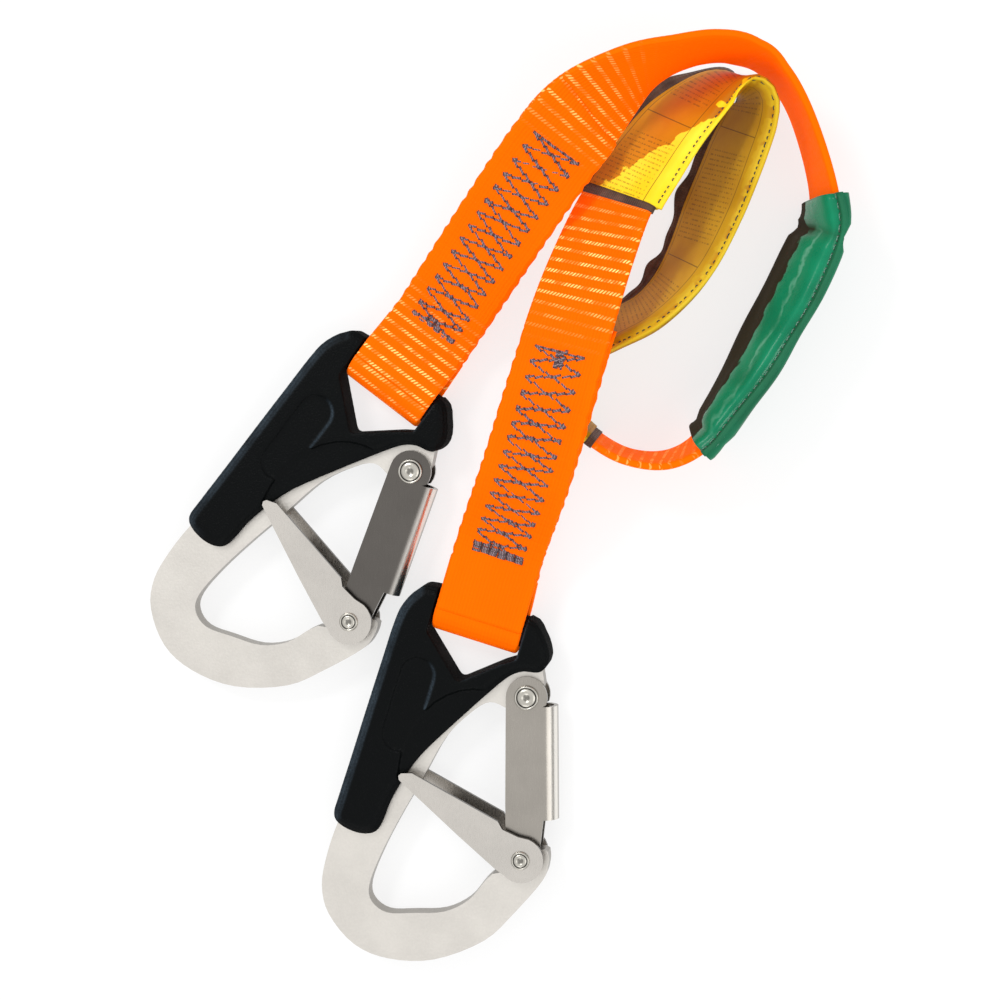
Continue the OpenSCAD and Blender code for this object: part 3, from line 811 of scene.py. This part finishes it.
class Threads:
    """Stitches gathered into one mesh."""

    SIDES, PARTS = 6, 6

    def __init__(self):
        self.verts, self.faces, self.uvs, self.hole = [], [], [], []

    def stitch(self, start, end, up, radius, lift):
        """A plump thread that comes out of one needle hole and goes down the next."""
        sides, parts = self.SIDES, self.PARTS
        way = end - start
        side = unit(np.cross(way, up))
        base = len(self.verts)
        length = np.linalg.norm(way) / MM
        for i in range(parts + 1):
            t = i / parts
            bow = math.sin(math.pi * t)
            down = (1 - bow) ** 2
            centre = start + way * t + up * (lift * bow - radius * 0.9 * down)
            fat = radius * (0.85 + 0.8 * down)
            for k in range(sides):
                a = 2 * math.pi * k / sides
                self.verts.append(centre + fat * (side * math.cos(a) + up * math.sin(a)))
                # painted shade, darkest at the ends that go down into the needle holes
                self.hole.append(1 - 0.95 * bow)
        for i in range(parts):
            for k in range(sides):
                l = (k + 1) % sides
                a = base + i * sides
                self.faces.append([a + k, a + l, a + sides + l, a + sides + k])
                x0, x1 = i / parts * length, (i + 1) / parts * length
                y0, y1 = k * 0.2, k * 0.2 + 0.2
                self.uvs += [(x0, y0), (x0, y1), (x1, y1), (x1, y0)]
        for first, order in ((base, -1), (base + parts * sides, 1)):
            self.faces.append([first + k for k in range(sides)][::order])
            self.uvs += [(0, 0)] * sides

    def line(self, a, b, up, pitch, radius, lift, jitter=0.0, slant=0.0):
        """Stitches in a row from a to b; slant turns each one by that much sideways."""
        count = max(1, round(np.linalg.norm(b - a) / pitch))
        aside = unit(np.cross(up, b - a)) * slant
        for k in range(count):
            shift = np.array([RNG.uniform(-1, 1) * jitter for _ in range(3)])
            ends = (
                a + (b - a) * (k + t) / count + shift + aside * (1 - 2 * t)
                for t in (STITCH_GAP / 2, 1 - STITCH_GAP / 2)
            )
            self.stitch(*ends, up, radius * RNG.uniform(0.85, 1.15), lift)

    def made(self, name, material, node):
        o = build(name, self.verts, self.faces, material, self.uvs, {"hole": self.hole})
        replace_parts(consistent(o), node)
        return o


def leg_stitches(name, line, node, knot):
    """Two crossing zigzags over a leg, on both faces, with a dense bar at the hook's end.

    With knot the far end is sewn over again, and the stitches slant the other way."""
    threads = Threads()
    half = ZIGZAG_HALF
    turn = -1 if knot else 1
    skin = LAYER_STEP / 2 + THICK / 2
    for face in (1, -1):

        def sew(row_a, across_a, row_b, across_b, pitch, radius, lift, jitter=0.08, slant=0.0):
            """Stitches between two places on the leg; pitch and all after it are in mm."""
            ends = []
            for row, across in ((row_a, across_a), (row_b, across_b)):
                r = ring_at(line, STITCH_FROM + row * ROW_STEP + RNG.uniform(-0.2, 0.2) * MM)
                ends.append(r.place + r.across * across + r.out * (LAYER_STEP / 2 + face * skin))
                up = r.out * face
            sizes = [x * MM for x in (pitch, radius, lift, jitter, slant)]
            threads.line(*ends, up, *sizes)

        for row in range(STITCH_ROWS - 1):
            for s in (1, -1):
                sew(row, -half * s, row + 1, half * s, 2.5, 0.36, 0.14, 0.14, 0.24 * s * turn)
            sew(row + 0.5, -1.3 * MM, row + 0.5, 1.3 * MM, 1.3, 0.42, 0.18)
            for s in (1, -1):
                sew(row + 0.04, half * s, row + 0.14, half * s * 0.84, 1.3, 0.42, 0.18)
        for k in range(4):
            sew((k - 1.5) * 0.15, -half, (k - 1.5) * 0.15, half, 2.3, 0.42, 0.3, 0.16)
        sew(STITCH_ROWS - 1, -half, STITCH_ROWS - 1, half, 2.5, 0.36, 0.2, 0.12)
        if knot:
            for k in range(5):
                x = (k * 0.55 - 0.4) * MM
                sew(STITCH_ROWS - 1.9, x, STITCH_ROWS - 0.9, x, 1.5, 0.38, 0.35, 0.2)
    return threads.made(name, GREY_THREAD, node)


LEG = 100 * MM
leg_1 = [r for r in band if r.far < LEG]
leg_2 = [
    Ring(r.place, -r.forward, r.across, r.number, band_length - r.far)
    for r in reversed(band) if r.far > band_length - LEG
]
threads = [
    leg_stitches("leg_1_zigzag", leg_1, "leg_1_stitching", False),
    leg_stitches("leg_2_zigzag", leg_2, "leg_2_stitching", True),
]

# ---------------------------------------------------------------- overload indicator

sleeve = stretch(SLEEVE_TOP, SLEEVE_END)
sleeve_far = sleeve[0].far
sleeve_length = sleeve[-1].far - sleeve_far
SLEEVE_HALF, SLEEVE_THICK, WALL, SEAM = 13.5 * MM, 8.4 * MM, 0.7 * MM, 2.6 * MM


def sleeve_section(inset=0.0):
    """A flattened tube whose upper side runs out into a sewn flange."""
    half, t = SLEEVE_HALF - inset, SLEEVE_THICK / 2 - inset
    flange = 0.0 if inset else SEAM
    lip = 0.3 * MM if inset else 0.75 * MM
    front, steps = [], 22
    for k in range(steps + 1):
        a = math.pi * (1 - k / steps)
        x = half * math.copysign(abs(math.cos(a)) ** 0.75, math.cos(a))
        y = t * max(0.0, math.sin(a)) ** 0.42
        front.append((x, max(y, lip if 2 * k > steps else 0.0)))
    front += [(half + flange * f, lip) for f in (0.35, 0.7, 0.95)]
    back = [(x, -y) for x, y in reversed(front)]
    return front + [(half + flange, 0.0)] + back[:-1]


def sleeve_place(r, a):
    """How far along the sleeve from 0 to 1, and how far up its side from -1 to 1."""
    return (r.far - sleeve_far) / sleeve_length, a / SLEEVE_HALF


def sleeve_shape(r, a, o):
    """Slack vinyl: a collar pinched off at the top, a ridge along the front, soft dents."""
    s, up = sleeve_place(r, a)
    pinch = bump_curve(s, 0.125, 0.045) + 0.45 * bump_curve(s, 0.95, 0.04)
    dent = 0.05 * math.sin(7.3 * s + 2.2 * up) + 0.04 * math.sin(19 * s - 4.1 * up)
    ridge = 0.22 * bump_curve(up, ridge_at(s), 0.5) if o > 0 and 0.15 < s < 0.93 else 0.0
    o *= 1 - 0.34 * pinch + dent + ridge
    a *= 1 - 0.05 * pinch + 0.015 * math.sin(9 * s)
    return a + flange_wave(s) * max(0.0, up), o


def flange_wave(s):
    """How the sewn flange wanders along the sleeve."""
    return 0.35 * MM * math.sin(21 * s)


def ridge_at(s):
    """Where the front's ridge runs, on the same scale as up."""
    return 0.08 + 0.55 * s**3


def sleeve_tones(r, a, o):
    """Millimetres below the ridge, and the painted shade the vinyl has besides: in the pinch, on
    the flange, on the back.
    """
    s, up = sleeve_place(r, a)
    if o < 0:
        return -9.0, 0.25
    edge = ridge_at(s) if s > 0.12 else -0.22
    pinch = bump_curve(s, 0.125, 0.03) * (1.0 if up < 0.35 else 0.3)
    flange = 0.38 if up > 1.05 else 0.0
    return (edge - up) * SLEEVE_HALF / MM, max(pinch, flange)


sleeve_line = sleeve[::2] + [sleeve[-1]]
sec_out, sec_in = sleeve_section(), sleeve_section(WALL)
verts, faces, uvs = sweep_mesh(sleeve_line, sec_out, sleeve_shape, sec_in)
tones = [sleeve_tones(r, a, o) for r in sleeve_line for a, o in sec_out]
tones += [(-9.0, 0.8)] * (len(verts) // 2)    # the inside, plain, in painted dark shade
green = consistent(build("sleeve", verts, faces, GREEN, uvs,
                         {"ridge": [t[0] for t in tones], "shade": [t[1] for t in tones]}))
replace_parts(green, "indicator_sleeve")

seam_threads = Threads()
count = 34
for k in range(count):
    for face in (1, -1):
        ends = []
        for part in (0.15, 0.85):
            r = ring_at(sleeve, sleeve_length * (k + part) / count)
            across = SLEEVE_HALF + SEAM * 0.35 + flange_wave(sleeve_place(r, 0)[0])
            ends.append(r.place + r.across * across + r.out * face * 0.82 * MM)
        seam_threads.stitch(*ends, r.out * face, 0.17 * MM, 0.12 * MM)
seam = seam_threads.made("sleeve_seam", PALE_THREAD, "indicator_seam_stitching")

# the spare webbing folded on itself, one more layer on each face, and the thread that tears
verts, faces, uvs = [], [], []
fold_line = sleeve[20:-20]
for side in (1, -1):
    line = [r.moved(0, side * LAYER_STEP) for r in fold_line]
    v, f, u = sweep_mesh(line, strip_section(22 * MM, THICK))
    faces += [[i + len(verts) for i in face] for face in f]
    verts += v
    uvs += u
plain = {key: [0.0] * len(verts) for key in ("glint", "deep", "edge")}
fold = consistent(build("spare_fold", verts, faces, WEBBING, uvs, plain))
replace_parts(fold, "indicator_fold")
tear_threads = Threads()
for k in range(2, 7):
    r = ring_at(sleeve, sleeve_length * k / 8)
    for face in (1, -1):
        for s in (-1, 1):
            on_fold = r.place + r.out * face * (LAYER_STEP + THICK / 2)
            ends = (on_fold + r.across * x * MM * s for x in (6.8, 3.2))
            tear_threads.line(*ends, r.out * face, 1.8 * MM, 0.25 * MM, 0.05 * MM)
tear = tear_threads.made("tear_threads", RED_THREAD, "tear_stitching")

# ---------------------------------------------------------------- label sleeve

label = stretch(LABEL_START, LABEL_END)
label_far = label[0].far
label_length = label[-1].far - label_far
COVER_LOW, COVER_HALF = 12.9 * MM, 15.1 * MM    # from the band's middle to each edge
# Half sections in mm, from the lower edge up; the back is their mirror image
COVER_OUTSIDE = [(-12.9, 1.6), (-12.4, 1.85), (-10, 1.95), (-5, 2), (0, 2), (5, 2),
                 (9.5, 1.98), (11.9, 1.85), (12.9, 1.35), (13.3, 0.75), (14.1, 0.55),
                 (14.8, 0.5), (15.1, 0.25)]
COVER_INSIDE = [(-12.9, 1.25), (-12.4, 1.5), (-10, 1.6), (-5, 1.65), (0, 1.65), (5, 1.65),
                (9.5, 1.62), (11.6, 1.5), (12.6, 1.0), (13.1, 0.12)]
LINING_OUTSIDE = [(-14.8, 0), (-14.5, 0.6), (-13.8, 0.95), (-12.9, 1.15), (-12, 1.3), (-8, 1.5),
                  (0, 1.55), (8, 1.5), (11.5, 1.38), (12.5, 0.9), (12.95, 0)]
LINING_INSIDE = [(-14.5, 0), (-14.2, 0.3), (-13.5, 0.7), (-12.7, 0.95), (-11.8, 1.08), (-8, 1.15),
                 (0, 1.2), (8, 1.15), (11.3, 1.08), (12.3, 0.65), (12.65, 0)]


def both_faces(half):
    """A closed section from its front half; a point on the middle plane isn't doubled."""
    points = [(a * MM, o * MM) for a, o in half]
    return points + [(a, -o) for a, o in reversed(points) if o > 0]


# an open sheet folded over the band: round its outside, then back along its inside
cover_section = both_faces(COVER_OUTSIDE) + both_faces(COVER_INSIDE)[::-1]
# the lining's mesh needs as many points inside as outside
lining_sections = both_faces(LINING_OUTSIDE), both_faces(LINING_INSIDE)


def label_shape(r, a, o):
    """Limp cloth: soft swells of its faces, and a wavering lower edge."""
    s = (r.far - label_far) / MM
    low = max(0.0, -a / COVER_HALF) ** 3
    o *= 1 + 0.09 * math.sin(s / 8.3 + 2.0 * a / COVER_HALF)
    a += (0.32 * math.sin(s / 6.1) + 0.24 * math.sin(s / 2.9 + 1.0)) * MM * low
    a += 0.12 * math.sin(s / 5.0) * MM * max(0.0, a / COVER_HALF) ** 3
    return a, o


def lining_shape(r, a, o):
    """The lining hangs out below the cover in waves, and flares to the side that faces up."""
    s = (r.far - label_far) / MM
    low = max(0.0, (-a / MM - 12.9) / 1.9)
    wave = 0.5 + 0.30 * math.sin(s / 4.1) + 0.20 * math.sin(s / 1.9 + 2)
    side = math.tanh((r.number - 28.9) / 0.35)
    a -= (0.2 + 0.7 * wave) * MM * low
    return a, o + side * (1.6 + 2.4 * wave) * MM * low


def above_floor(verts):
    """Cloth that would hang through the surface lies on it."""
    for v in verts:
        v[2] = max(v[2], 0.2 * MM)
    return verts


def label_tones(r, a):
    """How far the label is into its painted amber shadow, in mm, and how much painted ochre shade
    it has on its run back.
    """
    back = min(1.0, max(0.0, (TURN_TOP - r.number) / 0.8))
    amber_shadow = min(6.5 - 10.5 * (r.number - 31.5) - a / MM, 13.0 - a / MM)
    return amber_shadow, back * (0.92 if a < 13.1 * MM else 0.62)


label_line = label[3:-3][::2] + [label[-4]]
verts, faces, uvs = sweep_mesh(label_line, cover_section, label_shape)
tones = [label_tones(r, a) for r in label_line for a, o in cover_section]
cover = consistent(build("label", above_floor(verts), faces, LABEL, uvs,
                         {"amber_shadow": [t[0] for t in tones], "ochre_shade": [t[1] for t in tones]}))
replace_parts(cover, "label_cover")

verts, faces, uvs = sweep_mesh(label, lining_sections[0], lining_shape, lining_sections[1])
lining = consistent(build("label_inner", above_floor(verts), faces, LINING, uvs))
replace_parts(lining, "label_lining")

label_threads = Threads()
count = round(label_length / (1.75 * MM))
for k in range(3, count - 2):
    for face in (1, -1):
        ends = []
        for part in (0.2, 0.68):
            r = ring_at(label, label_length * (k + part) / count)
            a, o = label_shape(r, 13.75 * MM, face * 0.63 * MM)
            ends.append(r.place + r.across * a + r.out * o)
        label_threads.stitch(*ends, r.out * face, 0.2 * MM, 0.1 * MM)
label_seam = label_threads.made("label_seam", BLACK_THREAD, "label_seam_stitching")

on_band = [*eyes, *tails, *threads, green, seam, fold, tear, cover, lining, label_seam]
for o in [webbing] + on_band:
    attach(o, "webbing")
tuple(band[0].place)
[tuple(r.place) for r in band[::4]] + [tuple(band[-1].place)]

# ---------------------------------------------------------------- hooks


def finish_metal(node, material, width, segments=3):
    """Gives a CAD part its metal and rounds its sharp edges; its flat faces stay flat."""
    o = NODES[node]
    o.data.materials.clear()
    o.data.materials.append(material)
    shade_smooth(o.data)
    flat = o.modifiers.new("flat faces", "DECIMATE")
    flat.decimate_type = "DISSOLVE"
    flat.angle_limit = math.radians(0.6)
    bevel = o.modifiers.new("rounded edges", "BEVEL")
    bevel.width, bevel.segments = width, segments
    bevel.limit_method, bevel.angle_limit = "ANGLE", math.radians(35)
    bevel.use_clamp_overlap = True
    bevel.harden_normals = True


def moulded(n):
    """A grip whose steps run into one another as in a moulding."""
    source = NODES[f"hook_{n}_grip"]
    o = bpy.data.objects.new(f"grip_{n}", source.data.copy())
    o.matrix_world = source.matrix_world.copy()
    bpy.context.scene.collection.objects.link(o)
    remesh = o.modifiers.new("even mesh", "REMESH")
    remesh.mode, remesh.voxel_size = "VOXEL", 0.36 * MM
    soften = o.modifiers.new("soften", "SMOOTH")
    soften.factor, soften.iterations = 0.5, 8
    solid = o.evaluated_get(bpy.context.evaluated_depsgraph_get())
    mesh = bpy.data.meshes.new_from_object(solid)
    o.modifiers.clear()
    o.data = mesh
    mesh.materials.clear()
    mesh.materials.append(BLACK)
    shade_smooth(mesh)
    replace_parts(o, f"hook_{n}_grip")
    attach(o, f"hook_{n}")


LEVER_GRAIN = math.radians(52)    # between the gate's brushing and the lever's
# The first gate's colour is painted darker than the second's, a painted reflection of a darker
# part of the studio
GATE_REFLECTIONS = [(0.125, 0.115, 0.105), (0.36, 0.335, 0.30)]
# Upper halves of the rivets in mm: radius, height, and 1 in a groove that gets painted shade
GATE_RIVET = [(0, 4.55, 0.6), (0.8, 4.55, 0.6), (1.1, 4.84, 0), (2.4, 4.9, 0), (2.55, 4.64, 1),
              (2.8, 4.64, 1), (2.95, 4.88, 0), (3.25, 4.8, 0), (3.4, 4.55, 0), (3.4, 4.05, 0),
              (2, 4.05, 0)]
LEVER_RIVET = [(0, 6.66, 0.6), (0.75, 6.66, 0.6), (1.0, 6.9, 0), (1.7, 6.95, 0), (1.82, 6.74, 1),
               (2.02, 6.74, 1), (2.15, 6.93, 0), (2.45, 6.86, 0), (2.6, 6.6, 0), (2.6, 6.25, 0),
               (2, 6.25, 0), (2, 2.75, 0), (2.6, 2.75, 0)]


def rivet(name, half, joint, body):
    """A rivet turned from its half profile, on a joint's axis."""
    profile = half + [(r, -z, dark) for r, z, dark in reversed(half)]
    centre = np.array(JOINTS[joint]["pos_m"])
    steps = 48
    verts, dark = [], []
    for r, z, d in profile:
        for k in range(steps):
            a = 2 * math.pi * k / steps
            verts.append(centre + np.array((r * math.cos(a), r * math.sin(a), z)) * MM)
            dark.append(d)
    faces = []
    for i in range(len(profile) - 1):
        for k in range(steps):
            l = (k + 1) % steps
            faces.append([i * steps + k, i * steps + l, (i + 1) * steps + l, (i + 1) * steps + k])
    o = build(f"{name}_turned", verts, faces, RIVET, floats={"hole": dark})
    bm = bmesh.new()
    bm.from_mesh(o.data)
    bmesh.ops.remove_doubles(bm, verts=bm.verts, dist=1e-7)
    bm.to_mesh(o.data)
    bm.free()
    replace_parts(consistent(o), name)
    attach(o, body)


for n in (1, 2):
    turn = hook_turn(n)
    moulded(n)
    rivet(f"hook_{n}_gate_rivet", GATE_RIVET, f"gate_{n}_swing", f"hook_{n}")
    rivet(f"hook_{n}_lever_rivet", LEVER_RIVET, f"lever_{n}_squeeze", f"gate_{n}")
    # the wall colours are painted shade on the sides, the rim colours painted highlights on the
    # eased edges
    body_steel = steel(f"blasted_steel_{n}", (0.67, 0.64, 0.595), 0.4, 1500, depth=0.00006,
                       wall_shade=(0.36, 0.34, 0.31))
    gate_steel = steel(
        f"brushed_steel_{n}", GATE_REFLECTIONS[n - 1], 0.24, 420, (14, 1, 1), turn, 0.00001,
        rim_highlight=(0.82, 0.79, 0.74), wall_shade=(0.30, 0.28, 0.255),
    )
    lever_steel = steel(
        f"lever_steel_{n}", (0.58, 0.55, 0.51), 0.28, 700, (6, 1, 1), turn + LEVER_GRAIN, 0.000004,
        rim_highlight=(0.85, 0.83, 0.79), wall_shade=(0.11, 0.10, 0.09),
    )
    finish_metal(f"hook_{n}_body", body_steel, 0.55 * MM)
    finish_metal(f"hook_{n}_gate", gate_steel, 0.3 * MM, 2)
    finish_metal(f"hook_{n}_lever", lever_steel, 0.3 * MM, 2)
    finish_metal(f"hook_{n}_gate_spring", SPRING, 0.1 * MM)
    finish_metal(f"hook_{n}_lever_spring", SPRING, 0.2 * MM)
